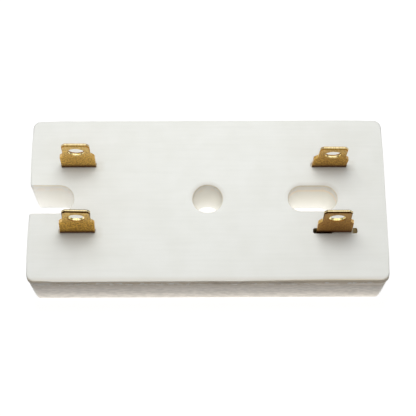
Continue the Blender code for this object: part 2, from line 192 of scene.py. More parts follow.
def colour(code):
    """The linear colour of an sRGB hex code."""
    shares = [int(code[place:place + 2], 16) / 255 for place in (1, 3, 5)]
    linear = [share / 12.92 if share <= 0.04045 else ((share + 0.055) / 1.055) ** 2.4
              for share in shares]
    return (*linear, 1)


def add_node(tree, kind, values=None, links=None, **settings):
    """Add one node with its settings, the values of its free sockets and its links."""
    node = tree.nodes.new(kind)
    for name, value in settings.items():
        setattr(node, name, value)
    for socket, value in (values or {}).items():
        node.inputs[socket].default_value = value
    for socket, source in (links or {}).items():
        tree.links.new(source, node.inputs[socket])
    return node


def start_material(name, roughness, metallic=0.0, ior=1.5):
    """A material with its shader, its Object coordinates and its node tree."""
    material = bpy.data.materials.new(name)
    material.use_nodes = True
    tree = material.node_tree
    shader = tree.nodes["Principled BSDF"]
    shader.inputs["Roughness"].default_value = roughness
    shader.inputs["Metallic"].default_value = metallic
    shader.inputs["IOR"].default_value = ior
    place = add_node(tree, "ShaderNodeTexCoord").outputs["Object"]
    return material, tree, shader, place


def outside_block(tree, place):
    """How far a place is outside the block's outline, which is a negative number inside it."""
    apart = add_node(tree, "ShaderNodeVectorMath", {}, {0: place}, operation="ABSOLUTE")
    beyond = add_node(tree, "ShaderNodeVectorMath", {1: (HIGHEST.x, HIGHEST.y, 0)},
                      {0: apart.outputs[0]}, operation="SUBTRACT")
    sides = add_node(tree, "ShaderNodeSeparateXYZ", links={0: beyond.outputs[0]})
    away = add_node(tree, "ShaderNodeMath", {}, {0: sides.outputs["X"], 1: sides.outputs["Y"]},
                    operation="MAXIMUM")
    return away.outputs[0]


def near(tree, value, target, faded, full, interpolation="LINEAR"):
    """1 where a value is within one distance of its target, fading to 0 at another."""
    off = add_node(tree, "ShaderNodeMath", {1: target}, {0: value}, operation="SUBTRACT")
    distance = add_node(tree, "ShaderNodeMath", {}, {0: off.outputs[0]}, operation="ABSOLUTE")
    share = add_node(tree, "ShaderNodeMapRange", {"From Min": faded, "From Max": full},
                     {"Value": distance.outputs[0]}, interpolation_type=interpolation)
    return share.outputs[0]


def steatite():
    """Unglazed steatite, pressed and fired: off-white, satin, with a fine powder grain."""
    material, tree, shader, place = start_material("unglazed_steatite", 0.5, ior=1.55)
    split = add_node(tree, "ShaderNodeSeparateXYZ", links={0: place})
    level = add_node(tree, "ShaderNodeVectorMath", {1: (1, 1, 0)}, {0: place},
                     operation="MULTIPLY").outputs[0]
    depth = add_node(tree, "ShaderNodeMath", {0: DECK}, {1: split.outputs["Z"]},
                     operation="SUBTRACT").outputs[0]
    away = outside_block(tree, place)

    # Clouds of 4 to 8 mm in the fired colour
    clouds = add_node(tree, "ShaderNodeTexNoise", {"Scale": 1 / (6 * MM), "Detail": 3.0},
                      {"Vector": place}).outputs[0]

    # Wiping marks along X, about 0.7 mm apart and 14 mm long
    stretched = add_node(tree, "ShaderNodeMapping", {"Scale": (0.05, 1.0, 0.3)}, {0: place})
    streaks = add_node(tree, "ShaderNodeTexNoise", {"Scale": 1 / (0.7 * MM), "Detail": 4.0},
                       {"Vector": stretched.outputs[0]}).outputs[0]

    # Mottle and dirt spots on the walls, and the white flecks painted as highlights along the
    # press line, about 1.7 mm long and 1 mm high
    lengthened = add_node(tree, "ShaderNodeMapping", {"Scale": (0.35, 1.0, 0.6)}, {0: place})
    flakes = add_node(tree, "ShaderNodeTexNoise", {"Scale": 1 / (0.6 * MM), "Detail": 4.0},
                      {"Vector": lengthened.outputs[0]}).outputs[0]

    # The front rim and the rims of the openings are tinted cream
    on_rim = add_node(tree, "ShaderNodeMapRange", {"From Min": 0.02 * MM, "From Max": 0.2 * MM},
                      {"Value": depth})
    at_front = add_node(tree, "ShaderNodeMapRange",
                        {"From Min": LOWEST.y + FRONT_RIM_BAND,
                         "From Max": LOWEST.y + 0.7 * MM},
                        {"Value": split.outputs["Y"]})
    at_opening = add_node(tree, "ShaderNodeMapRange",
                          {"From Min": -0.7 * MM, "From Max": -0.9 * MM}, {"Value": away})
    cream_rims = add_node(tree, "ShaderNodeMath", {}, {0: at_front.outputs[0],
                                                    1: at_opening.outputs[0]},
                       operation="MAXIMUM")
    rim_share = add_node(tree, "ShaderNodeMath", {}, {0: cream_rims.outputs[0],
                                                      1: on_rim.outputs[0]},
                         operation="MULTIPLY")
    rim = add_node(tree, "ShaderNodeMix", {MIX_B: colour("#F6EAD2")},
                   {MIX_SHARE: rim_share.outputs[0],
                    MIX_A: deck_colour(tree, level, split, clouds, streaks)}, data_type="RGBA")

    # Under the rims the walls of the openings and of the notch are painted whiter than the deck,
    # painted light that brightens them, and only the outer walls are beige
    below_rim = add_node(tree, "ShaderNodeMapRange", {"From Min": 0.35 * MM, "From Max": 0.6 * MM},
                         {"Value": depth})
    whitened_as_lit = add_node(tree, "ShaderNodeMix", {MIX_B: colour("#F6F4ED")},
                     {MIX_SHARE: below_rim.outputs[0], MIX_A: rim.outputs[MIX_RESULT]},
                     data_type="RGBA")
    at_outline = add_node(tree, "ShaderNodeMapRange",
                          {"From Min": -0.7 * MM, "From Max": -0.5 * MM}, {"Value": away})
    from_mouth = add_node(tree, "ShaderNodeVectorMath", {1: (LOWEST.x, 0, 0)}, {0: level},
                          operation="DISTANCE")
    past_mouth = add_node(tree, "ShaderNodeMapRange",
                          {"From Min": NOTCH_REACH - 0.6 * MM, "From Max": NOTCH_REACH},
                          {"Value": from_mouth.outputs["Value"]})
    outer = add_node(tree, "ShaderNodeMath", {}, {0: at_outline.outputs[0],
                                                  1: past_mouth.outputs[0]},
                     operation="MULTIPLY")
    wall_share = add_node(tree, "ShaderNodeMath", {}, {0: outer.outputs[0],
                                                       1: below_rim.outputs[0]},
                          operation="MULTIPLY")
    body = add_node(tree, "ShaderNodeMix", {},
                    {MIX_SHARE: wall_share.outputs[0], MIX_A: whitened_as_lit.outputs[MIX_RESULT],
                     MIX_B: wall_colour(tree, split, depth, flakes)}, data_type="RGBA")
    with_highlights = press_line_highlights(tree, split, depth, clouds, flakes, body.outputs[MIX_RESULT])
    tree.links.new(slot_painted_shade(tree, place, depth, with_highlights), shader.inputs["Base Color"])

    # Powder grain of 0.25 mm, drawn as coarse as it needs to show, and scuffs on the walls
    grain = add_node(tree, "ShaderNodeTexNoise", {"Scale": 1 / (0.25 * MM), "Detail": 4.0},
                     {"Vector": place})
    scuffs = add_node(tree, "ShaderNodeMapRange", {"To Max": 5.0},
                      {"Value": wall_share.outputs[0]})
    scuffed = add_node(tree, "ShaderNodeMath", {}, {0: flakes, 1: scuffs.outputs[0]},
                       operation="MULTIPLY")
    relief = add_node(tree, "ShaderNodeMath", {1: 0.35}, {0: streaks, 2: grain.outputs[0]},
                      operation="MULTIPLY_ADD")
    height = add_node(tree, "ShaderNodeMath", {}, {0: relief.outputs[0], 1: scuffed.outputs[0]},
                      operation="ADD")
    bump = add_node(tree, "ShaderNodeBump", {"Strength": 0.3, "Distance": 0.04 * MM},
                    {"Height": height.outputs[0]})
    tree.links.new(bump.outputs[0], shader.inputs["Normal"])
    gloss = add_node(tree, "ShaderNodeMapRange", {"To Min": 0.42, "To Max": 0.6},
                     {"Value": clouds})
    tree.links.new(gloss.outputs[0], shader.inputs["Roughness"])
    return material


def deck_colour(tree, level, split, clouds, streaks):
    """The deck: clouded and wiped, with painted shade along its front rim and behind its screw
    holes.
    """
    cloud_share = add_node(tree, "ShaderNodeMapRange", {"From Min": 0.35, "From Max": 0.65},
                           {"Value": clouds})
    fired = add_node(tree, "ShaderNodeMix", {MIX_A: colour("#EFF0EB"), MIX_B: colour("#ECEDE7")},
                     {MIX_SHARE: cloud_share.outputs[0]}, data_type="RGBA")
    streak_share = add_node(tree, "ShaderNodeMapRange",
                            {"From Min": 0.4, "From Max": 0.75, "To Max": 0.18},
                            {"Value": streaks})
    wiped = add_node(tree, "ShaderNodeMix", {MIX_B: colour("#E0E1DB")},
                     {MIX_SHARE: streak_share.outputs[0], MIX_A: fired.outputs[MIX_RESULT]},
                     data_type="RGBA")

    # Painted shade: the deck is painted darker in the last millimetre before the front rim, as the
    # shade of the rounded rim
    by_rim = add_node(tree, "ShaderNodeMapRange",
                      {"From Min": LOWEST.y + FRONT_RIM_BAND,
                       "From Max": LOWEST.y + 0.3 * MM, "To Max": 0.4},
                      {"Value": split.outputs["Y"]})
    shaded_deck = add_node(tree, "ShaderNodeMix", {MIX_B: colour("#CFC6B6")},
                      {MIX_SHARE: by_rim.outputs[0], MIX_A: wiped.outputs[MIX_RESULT]},
                      data_type="RGBA")

    # Painted shade behind the screw holes, in the millimetre nearest to each, where their rounded
    # rear rims turn away from the softbox
    behind = add_node(tree, "ShaderNodeMapRange",
                      {"From Min": -1 * MM, "From Max": 2.5 * MM, "To Max": 0.4},
                      {"Value": split.outputs["Y"]})
    for middle, half_length, radius in SCREW_HOLES:
        centred = add_node(tree, "ShaderNodeVectorMath", {1: (middle * MM, 0, 0)}, {0: level},
                           operation="SUBTRACT")
        folded = add_node(tree, "ShaderNodeVectorMath", {}, {0: centred.outputs[0]},
                          operation="ABSOLUTE")
        past = add_node(tree, "ShaderNodeVectorMath", {1: (half_length * MM, 0, 0)},
                        {0: folded.outputs[0]}, operation="SUBTRACT")
        nearest = add_node(tree, "ShaderNodeVectorMath", {1: (0, 0, 0)}, {0: past.outputs[0]},
                           operation="MAXIMUM")
        reach = add_node(tree, "ShaderNodeVectorMath", {}, {0: nearest.outputs[0]},
                         operation="LENGTH")
        close = add_node(tree, "ShaderNodeMapRange",
                         {"From Min": (radius + 1.2) * MM, "From Max": (radius + 0.2) * MM},
                         {"Value": reach.outputs["Value"]}, interpolation_type="SMOOTHSTEP")
        hole_shade = add_node(tree, "ShaderNodeMath", {}, {0: close.outputs[0], 1: behind.outputs[0]},
                        operation="MULTIPLY")
        shaded_deck = add_node(tree, "ShaderNodeMix", {MIX_B: colour("#C8C2B6")},
                          {MIX_SHARE: hole_shade.outputs[0], MIX_A: shaded_deck.outputs[MIX_RESULT]},
                          data_type="RGBA")
    return shaded_deck.outputs[MIX_RESULT]


def wall_colour(tree, split, depth, flakes):
    """The outer walls: beige and mottled, with a brown tone that thins out downwards, partly
    painted shade that darkens their tops.
    """
    mottle = add_node(tree, "ShaderNodeMapRange", {"From Min": 0.4, "From Max": 0.6},
                      {"Value": flakes})
    bisque = add_node(tree, "ShaderNodeMix", {MIX_A: colour("#EFE5D7"), MIX_B: colour("#DBD1C3")},
                      {MIX_SHARE: mottle.outputs[0]}, data_type="RGBA")
    # A brown tone near the top that fades out downwards, which is also painted shade: the walls
    # are painted darker towards the top
    below_brown_shade = add_node(tree, "ShaderNodeMapRange",
                          {"From Min": 1.0 * MM, "From Max": 6.5 * MM}, {"Value": depth})
    wall = add_node(tree, "ShaderNodeMix", {MIX_A: colour("#E0CBAC")},
                    {MIX_SHARE: below_brown_shade.outputs[0], MIX_B: bisque.outputs[MIX_RESULT]},
                    data_type="RGBA")

    # Painted shadow of the flash: a dark line under it that fades out towards the right end
    under_flash_line = near(tree, depth, FLASH_SHADOW_DROP, 1.0 * MM, 0.3 * MM)
    leftwards = add_node(tree, "ShaderNodeMapRange",
                         {"From Min": 30 * MM, "From Max": 20 * MM, "To Max": 0.4},
                         {"Value": split.outputs["X"]})
    flash_shadow_share = add_node(tree, "ShaderNodeMath", {}, {0: under_flash_line, 1: leftwards.outputs[0]},
                          operation="MULTIPLY")
    flash_shadowed = add_node(tree, "ShaderNodeMix", {MIX_B: colour("#AD9A80")},
                      {MIX_SHARE: flash_shadow_share.outputs[0], MIX_A: wall.outputs[MIX_RESULT]},
                      data_type="RGBA")
    return flash_shadowed.outputs[MIX_RESULT]


def press_line_highlights(tree, split, depth, clouds, flakes, body):
    """Painted highlights along the press line: white flecks, and the flash and dashes under it
    painted white where the ragged flash would catch the light.
    """
    # Painted highlights: white flecks under the flash, with more of them at the left end
    more_at_left_end = add_node(tree, "ShaderNodeMapRange",
                       {"From Min": -32 * MM, "From Max": -38 * MM, "To Max": 0.07},
                       {"Value": split.outputs["X"]})
    fleck_pattern = add_node(tree, "ShaderNodeMath", {}, {0: flakes, 1: more_at_left_end.outputs[0]},
                      operation="ADD")
    fleck_mask = add_node(tree, "ShaderNodeMapRange", {"From Min": 0.5, "From Max": 0.55},
                           {"Value": fleck_pattern.outputs[0]})
    above = add_node(tree, "ShaderNodeMapRange", {"From Min": 1.3 * MM, "From Max": 1.6 * MM},
                     {"Value": depth})
    under = add_node(tree, "ShaderNodeMapRange", {"From Min": 4.0 * MM, "From Max": 2.6 * MM},
                     {"Value": depth})
    band = add_node(tree, "ShaderNodeMath", {}, {0: above.outputs[0], 1: under.outputs[0]},
                    operation="MULTIPLY")
    fleck_highlight_share = add_node(tree, "ShaderNodeMath", {}, {0: band.outputs[0],
                                                    1: fleck_mask.outputs[0]},
                       operation="MULTIPLY")
    flecked = add_node(tree, "ShaderNodeMix", {MIX_B: colour("#F8F1E6")},
                     {MIX_SHARE: fleck_highlight_share.outputs[0], MIX_A: body}, data_type="RGBA")

    # Painted highlights: the flash is painted white where it is proud, and the wall in dashes
    # under it towards the right
    proud = add_node(tree, "ShaderNodeAttribute", attribute_name=FLASH_ATTRIBUTE)
    flash_highlight = add_node(tree, "ShaderNodeMath", {},
                            {0: proud.outputs["Fac"],
                             1: near(tree, depth, PRESS_LINE_DROP, 0.7 * MM, 0.4 * MM)},
                            operation="MULTIPLY")
    dashes = add_node(tree, "ShaderNodeMapRange", {"From Min": 0.42, "From Max": 0.5},
                      {"Value": clouds})
    rightwards = add_node(tree, "ShaderNodeMapRange",
                          {"From Min": -10 * MM, "From Max": 25 * MM, "To Min": 0.1},
                          {"Value": split.outputs["X"]})
    dashed = add_node(tree, "ShaderNodeMath", {}, {0: dashes.outputs[0],
                                                   1: rightwards.outputs[0]},
                      operation="MULTIPLY")
    dash_highlights = add_node(tree, "ShaderNodeMath", {},
                             {0: dashed.outputs[0],
                              1: near(tree, depth, DASHES_DROP, 0.7 * MM, 0.35 * MM)},
                             operation="MULTIPLY")
    lightened = add_node(tree, "ShaderNodeMath", {}, {0: dash_highlights.outputs[0],
                                                   1: flash_highlight.outputs[0]},
                      operation="MAXIMUM")
    with_highlights = add_node(tree, "ShaderNodeMix", {MIX_B: colour("#FFF2DF")},
                    {MIX_SHARE: lightened.outputs[0], MIX_A: flecked.outputs[MIX_RESULT]},
                    data_type="RGBA")
    return with_highlights.outputs[MIX_RESULT]


def slot_painted_shade(tree, place, depth, body):
    """Painted shade: the slots are painted brown-dark, and faintly the deck up to a millimetre
    from them, as contact shade beside the blades.
    """
    apart = add_node(tree, "ShaderNodeVectorMath", {}, {0: place}, operation="ABSOLUTE")
    spread = add_node(tree, "ShaderNodeSeparateXYZ", links={0: apart.outputs[0]})
    in_line = near(tree, spread.outputs["Y"], SLOT_LINE, 1.7 * MM, 0.9 * MM, "SMOOTHSTEP")
    in_row = near(tree, spread.outputs["X"], SLOT_ROW, 5.6 * MM, 4.6 * MM)
    by_slot = add_node(tree, "ShaderNodeMath", {}, {0: in_line, 1: in_row}, operation="MULTIPLY")
    in_deck = add_node(tree, "ShaderNodeMapRange", {"From Min": 2.9 * MM, "From Max": 2.7 * MM},
                       {"Value": depth})
    near_slot = add_node(tree, "ShaderNodeMath", {}, {0: by_slot.outputs[0],
                                                      1: in_deck.outputs[0]},
                         operation="MULTIPLY")
    in_slot = add_node(tree, "ShaderNodeMapRange",
                       {"From Min": 0.05 * MM, "From Max": 0.3 * MM, "To Min": 0.1},
                       {"Value": depth})
    slot_shade_share = add_node(tree, "ShaderNodeMath", {}, {0: near_slot.outputs[0],
                                                   1: in_slot.outputs[0]}, operation="MULTIPLY")
    # Brown-dark painted shade in the slots and on the deck beside them
    slot_shaded = add_node(tree, "ShaderNodeMix", {MIX_B: colour("#9C8658")},
                        {MIX_SHARE: slot_shade_share.outputs[0], MIX_A: body}, data_type="RGBA")
    return slot_shaded.outputs[MIX_RESULT]


def rolled_brass(name, tarnish, paleness):
    """Rolled brass sheet: yellow gold with a fine grain, toned brown near the deck, partly as
    painted shade.
    """
    material, tree, shader, place = start_material(name, 0.3, metallic=1.0)
    shader.inputs["Specular Tint"].default_value = colour("#FFF6E8")
    split = add_node(tree, "ShaderNodeSeparateXYZ", links={0: place})

    # Tarnish spots 0.35 mm wide, drawn twice as tall so that they show from above
    tall = add_node(tree, "ShaderNodeMapping", {"Scale": (1.0, 1.0, 0.5)}, {0: place})
    spots = add_node(tree, "ShaderNodeTexNoise", {"Scale": 1 / (0.35 * MM), "Detail": 4.0},
                     {"Vector": tall.outputs[0]})
    spot_share = add_node(tree, "ShaderNodeMapRange", {"From Min": 0.36, "From Max": 0.64},
                          {"Value": spots.outputs[0]})
    metal = add_node(tree, "ShaderNodeMix", {MIX_A: colour("#F3C352"), MIX_B: colour("#AA7A24")},
                     {MIX_SHARE: spot_share.outputs[0]}, data_type="RGBA")
    paled = add_node(tree, "ShaderNodeMix", {MIX_SHARE: paleness, MIX_B: colour("#F2DCA4")},
                     {MIX_A: metal.outputs[MIX_RESULT]}, data_type="RGBA")
    dulled = add_node(tree, "ShaderNodeMix", {MIX_SHARE: tarnish, MIX_B: colour("#824800")},
                      {MIX_A: paled.outputs[MIX_RESULT]}, data_type="RGBA")

    # Push-on connectors have rubbed the upper half paler
    high = add_node(tree, "ShaderNodeMapRange",
                    {"From Min": DECK + 5 * MM, "From Max": DECK + 11 * MM,
                     "To Max": 0.4 * (1 - tarnish)},
                    {"Value": split.outputs["Z"]}, interpolation_type="SMOOTHSTEP")
    lightened = add_node(tree, "ShaderNodeMix", {MIX_B: colour("#F2DCA4")},
                      {MIX_SHARE: high.outputs[0], MIX_A: dulled.outputs[MIX_RESULT]},
                      data_type="RGBA")

    # The foot of each blade is toned brown by heat, and painted darker as the shade that it
    # mirrors from the slot and the deck
    low = add_node(tree, "ShaderNodeMapRange",
                   {"From Min": DECK + 2.2 * MM, "From Max": DECK - 0.1 * MM},
                   {"Value": split.outputs["Z"]}, interpolation_type="SMOOTHSTEP")
    foot_toned_and_shaded = add_node(tree, "ShaderNodeMix", {MIX_B: colour("#6A380A")},
                     {MIX_SHARE: low.outputs[0], MIX_A: lightened.outputs[MIX_RESULT]},
                     data_type="RGBA")
    tree.links.new(foot_toned_and_shaded.outputs[MIX_RESULT], shader.inputs["Base Color"])

    # Rolling lines along the blade, 0.12 mm apart and 1 mm long
    drawn = add_node(tree, "ShaderNodeMapping", {"Scale": (1.0, 1.0, 0.12)}, {0: place})
    lines = add_node(tree, "ShaderNodeTexNoise", {"Scale": 1 / (0.12 * MM), "Detail": 3.0},
                     {"Vector": drawn.outputs[0]})
    relief = add_node(tree, "ShaderNodeMath", {1: 1.5}, {0: spots.outputs[0], 2: lines.outputs[0]},
                      operation="MULTIPLY_ADD")
    bump = add_node(tree, "ShaderNodeBump", {"Strength": 0.3, "Distance": 0.03 * MM},
                    {"Height": relief.outputs[0]})
    tree.links.new(bump.outputs[0], shader.inputs["Normal"])
    gloss = add_node(tree, "ShaderNodeMapRange", {"To Min": 0.22, "To Max": 0.42},
                     {"Value": spots.outputs[0]})
    tree.links.new(gloss.outputs[0], shader.inputs["Roughness"])
    return material


def cut_brass(name, light, dark, roughness):
    """Brass where the stamping tool cut or coined it, with streaks along the cut.

    The streaks are 0.3 mm apart, which is coarser than the real ones, so that they show.
    """
    material, tree, shader, place = start_material(name, roughness, metallic=1.0)
    drawn = add_node(tree, "ShaderNodeMapping", {"Scale": (1.0, 0.2, 0.5)}, {0: place})
    streaks = add_node(tree, "ShaderNodeTexNoise", {"Scale": 1 / (0.3 * MM), "Detail": 4.0},
                       {"Vector": drawn.outputs[0]})
    share = add_node(tree, "ShaderNodeMapRange", {"From Min": 0.35, "From Max": 0.65},
                     {"Value": streaks.outputs[0]})
    metal = add_node(tree, "ShaderNodeMix", {MIX_A: colour(light), MIX_B: colour(dark)},
                     {MIX_SHARE: share.outputs[0]}, data_type="RGBA")
    tree.links.new(metal.outputs[MIX_RESULT], shader.inputs["Base Color"])
    bump = add_node(tree, "ShaderNodeBump", {"Strength": 0.3, "Distance": 0.02 * MM},
                    {"Height": streaks.outputs[0]})
    tree.links.new(bump.outputs[0], shader.inputs["Normal"])
    return material


def oxidised_wire():
    """Drawn nickel chrome wire with the dull grey-green oxide that its heat gives."""
    material, tree, shader, place = start_material("oxidised_nichrome", 0.4, metallic=1.0)
    bloom = add_node(tree, "ShaderNodeTexNoise", {"Scale": 1 / (1.5 * MM), "Detail": 4.0},
                     {"Vector": place})
    scale = add_node(tree, "ShaderNodeMix", {MIX_A: colour("#8B8780"), MIX_B: colour("#5C5A55")},
                     {MIX_SHARE: bloom.outputs[0]}, data_type="RGBA")
    tree.links.new(scale.outputs[MIX_RESULT], shader.inputs["Base Color"])
    gloss = add_node(tree, "ShaderNodeMapRange", {"To Min": 0.3, "To Max": 0.55},
                     {"Value": bloom.outputs[0]})
    tree.links.new(gloss.outputs[0], shader.inputs["Roughness"])
    return material


def cast_cement():
    """Refractory cement, poured and fired: warm grey, matt, with sand and pinholes."""
    material, tree, shader, place = start_material("cast_cement", 0.9, ior=1.5)
    sand = add_node(tree, "ShaderNodeTexNoise", {"Scale": 1 / (0.4 * MM), "Detail": 6.0},
                    {"Vector": place})
    stain = add_node(tree, "ShaderNodeTexNoise", {"Scale": 1 / (7 * MM), "Detail": 2.0},
                     {"Vector": place})
    base = add_node(tree, "ShaderNodeMix", {MIX_A: colour("#CFCABE"), MIX_B: colour("#B3AB9B")},
                    {MIX_SHARE: stain.outputs[0]}, data_type="RGBA")
    sand_share = add_node(tree, "ShaderNodeMapRange",
                          {"From Min": 0.45, "From Max": 0.7, "To Max": 0.6},
                          {"Value": sand.outputs[0]})
    sandy = add_node(tree, "ShaderNodeMix", {MIX_B: colour("#8F877A")},
                     {MIX_SHARE: sand_share.outputs[0], MIX_A: base.outputs[MIX_RESULT]},
                     data_type="RGBA")
    tree.links.new(sandy.outputs[MIX_RESULT], shader.inputs["Base Color"])
    bump = add_node(tree, "ShaderNodeBump", {"Strength": 0.8, "Distance": 0.08 * MM},
                    {"Height": sand.outputs[0]})
    tree.links.new(bump.outputs[0], shader.inputs["Normal"])
    return material


def slot_cement():
    """The fine pale cement that ran up into the slots, with grains of 0.2 mm."""
    material, tree, shader, place = start_material("fine_cement", 0.8, ior=1.5)
    grains = add_node(tree, "ShaderNodeTexNoise", {"Scale": 1 / (0.2 * MM), "Detail": 4.0},
                      {"Vector": place})
    paste = add_node(tree, "ShaderNodeMix", {MIX_A: colour("#E4E1D8"), MIX_B: colour("#C6C1B4")},
                     {MIX_SHARE: grains.outputs[0]}, data_type="RGBA")

    # Painted shade: it is painted dark brown at the open right end of the long slot, deep in the
    # slot
    split = add_node(tree, "ShaderNodeSeparateXYZ", links={0: place})
    at_end = add_node(tree, "ShaderNodeMapRange",
                      {"From Min": LONG_SLOT_END - 1.4 * MM, "From Max": LONG_SLOT_END - 0.9 * MM},
                      {"Value": split.outputs["X"]})
    shaded_end = add_node(tree, "ShaderNodeMix", {MIX_B: colour("#786744")},
                       {MIX_SHARE: at_end.outputs[0], MIX_A: paste.outputs[MIX_RESULT]},
                       data_type="RGBA")
    tree.links.new(shaded_end.outputs[MIX_RESULT], shader.inputs["Base Color"])
    bump = add_node(tree, "ShaderNodeBump", {"Strength": 0.5, "Distance": 0.04 * MM},
                    {"Height": grains.outputs[0]})
    tree.links.new(bump.outputs[0], shader.inputs["Normal"])
    return material


def copy_of_node(node):
    """A bmesh with the node's form, its corners merged and its flat faces whole."""
    mesh = bmesh.new()
    mesh.from_mesh(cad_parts[node].data)
    bmesh.ops.remove_doubles(mesh, verts=mesh.verts, dist=MERGE_DISTANCE)
    bmesh.ops.dissolve_limit(mesh, angle_limit=FLAT_ANGLE, verts=mesh.verts, edges=mesh.edges)
    return mesh


def add_piece(name, mesh, materials, replaced=None):
    """A finished piece that rides on the body, and may stand for a node."""
    data = bpy.data.meshes.new(name)
    mesh.to_mesh(data)
    mesh.free()
    for material in materials:
        data.materials.append(material)
    data.shade_smooth()
    data.set_sharp_from_angle(angle=SHARP_ANGLE)
    piece = bpy.data.objects.new(name, data)
    bpy.context.scene.collection.objects.link(piece)
    weighting = piece.modifiers.new("even_normals", "WEIGHTED_NORMAL")
    weighting.keep_sharp = True
    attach(piece, "root")
    if replaced:
        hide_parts(replaced)
    return piece


def sharp_edges(mesh, at_least):
    """Edges between faces that meet at an angle."""
    return [edge for edge in mesh.edges
            if len(edge.link_faces) == 2 and edge.calc_face_angle(0) > at_least]


def round_edges(mesh, edges, radius, segments):
    """Round edges off."""
    bmesh.ops.bevel(mesh, geom=edges, offset=radius, offset_type="OFFSET", segments=segments,
                    profile=0.5, affect="EDGES", material=-1, clamp_overlap=True)


def ceramic_block(material):
    """The block with its edges softened and ragged flash along the press line."""
    mesh = copy_of_node("ceramic_body")
    vary_rim(mesh)
    round_edges(mesh, sharp_edges(mesh, BLOCK_EDGE_ANGLE), EDGE_WEAR, 2)
    raise_flash(mesh)
    return add_piece("ceramic_block", mesh, [material], "ceramic_body")


def vary_rim(mesh):
    """Make the rounding of the deck's outer rims crisp in places, as the die left it."""
    for axis in (1, 0):
        def on_rim(vertex):
            return vertex.co.z > DECK - RIM_RADIUS - MERGE_DISTANCE and \
                HIGHEST[axis] - abs(vertex.co[axis]) < RIM_RADIUS + MERGE_DISTANCE

        rings = [edge for edge in mesh.edges
                 if all(on_rim(end) for end in edge.verts) and edge.calc_length() > 5 * RIM_STEP]
        longest = max(edge.calc_length() for edge in rings)
        bmesh.ops.subdivide_edges(mesh, edges=rings, cuts=int(longest / RIM_STEP))
        for vertex in [vertex for vertex in mesh.verts if on_rim(vertex)]:
            rise = vertex.co.z - (DECK - RIM_RADIUS)
            inset = RIM_RADIUS - max(RIM_RADIUS ** 2 - rise ** 2, 0) ** 0.5
            crisp = rim_crispness(vertex.co, axis)
            outward = 1 if vertex.co[axis] > 0 else -1
            vertex.co[axis] += (inset * crisp + RIM_LIP * max(crisp, 0)) * outward
            vertex.co.z += (DECK - vertex.co.z) * crisp


def rim_crispness(place, axis):
    """How crisp a rim is: the front one most, from its left end to just past the middle."""
    if axis == 0:
        most = SIDE_RIMS
        from_notch = abs(place.y) - NOTCH_REACH if place.x < 0 else HIGHEST.y
    else:
        front = min(max((FRONT_RIM_END - place.x) / FRONT_RIM_FADE, FRONT_RIM_LEAST), 1)
        most = front if place.y < 0 else REAR_RIM
        from_notch = HIGHEST.y
    from_corner = HIGHEST[1 - axis] - abs(place[1 - axis]) - CORNER_REACH
    faded = min(max(min(from_notch, from_corner) / RIM_FADE, 0), 1)
    uneven = RIM_CRISPNESS * most * faded * (1 + 0.25 * noise.noise(place / (6 * MM)))
    return min(uneven, RIM_CRISPEST)


def raise_flash(mesh):
    """Cut the press line's ridge into short lengths, and pull its crest out unevenly.

    The attribute keeps where it is proud, so that the ceramic can be painted white there as a
    highlight.
    """
    line = DECK - PRESS_LINE_DROP

    def on_crest(vertex):
        return abs(vertex.co.z - line) < MERGE_DISTANCE

    for crest in [edge for edge in mesh.edges
                  if all(on_crest(end) for end in edge.verts)
                  and edge.calc_length() > 2 * FLASH_STEP]:
        strip = {crest} | {edge for face in crest.link_faces for edge in face.edges
                           if not set(edge.verts) & set(crest.verts)}
        bmesh.ops.subdivide_edges(mesh, edges=list(strip),
                                  cuts=int(crest.calc_length() / FLASH_STEP))
    lightened = mesh.verts.layers.float.new(FLASH_ATTRIBUTE)
    for vertex in [vertex for vertex in mesh.verts if on_crest(vertex)]:
        nicks, swells = vertex.co / FLASH_NICKS, vertex.co / FLASH_SWELLS
        ragged = noise.noise(nicks) + 0.8 * noise.noise(swells)
        for edge in vertex.link_edges:
            for end in edge.verts:
                end[lightened] = max(end[lightened], min(3 * ragged, 1))
        outward = Vector((vertex.normal.x, vertex.normal.y, 0)).normalized()
        proud = FLASH_PROUD * (FLASH_AT_ENDS + (1 - FLASH_AT_ENDS) * outward.y ** 2)
        vertex.co += outward * max(ragged, 0) * proud
        vertex.co.z += 0.5 * FLASH_PROUD * noise.noise(vertex.co / FLASH_WAVES)


def terminal_blade(node, materials):
    """A stamped blade: rolled faces, coined edges, and cuts that start clean and end torn; the
    clean cut's upward faces in the hole are painted pale as a highlight.
    """
    mesh = copy_of_node(node)
    front, back = sorted(mesh.faces, key=lambda face: face.calc_area())[-2:]
    middle = (front.calc_center_median() + back.calc_center_median()) / 2
    through = (front if front.normal.y > 0 else back).normal.copy()
    coin_tip(mesh, middle, through)
    punched = through if "rear" in node else -through
    torn = middle + punched * SHEARED_SHARE
    hole = Vector((middle.x, middle.y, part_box(node)[1].z - BLADE_HOLE_BELOW_TIP))
    bmesh.ops.bisect_plane(mesh, geom=mesh.verts[:] + mesh.edges[:] + mesh.faces[:],
                           plane_co=torn, plane_no=through)
    round_edges(mesh, sharp_edges(mesh, BLADE_EDGE_ANGLE), STAMPED_EDGE, 2)
    mesh.normal_update()
    for face in mesh.faces:
        centre = face.calc_center_median()
        facing = face.normal.dot(through)
        in_hole = (centre - hole).length < BLADE_HOLE_REACH
        if centre.z < DECK - FOOT_DROP or abs(facing) > FLAT:
            face.material_index = ROLLED
        elif in_hole and facing > SLANTED and face.normal.z > 0:
            face.material_index = SHOULDER
        elif abs(facing) > SLANTED:
            face.material_index = COINED_SIDE if abs(face.normal.x) > SLANTED else COINED
        elif in_hole:
            # Painted highlight: faces of the clean cut that face up get the pale sheared brass
            whitened_as_lit = face.normal.z > SLANTED and (centre - torn).dot(punched) < 0
            face.material_index = SHEARED if whitened_as_lit else TORN
        else:
            face.material_index = SHOULDER if centre.z < hole.z else TIP
    return add_piece(node.replace("terminal", "blade"), mesh, materials, node)


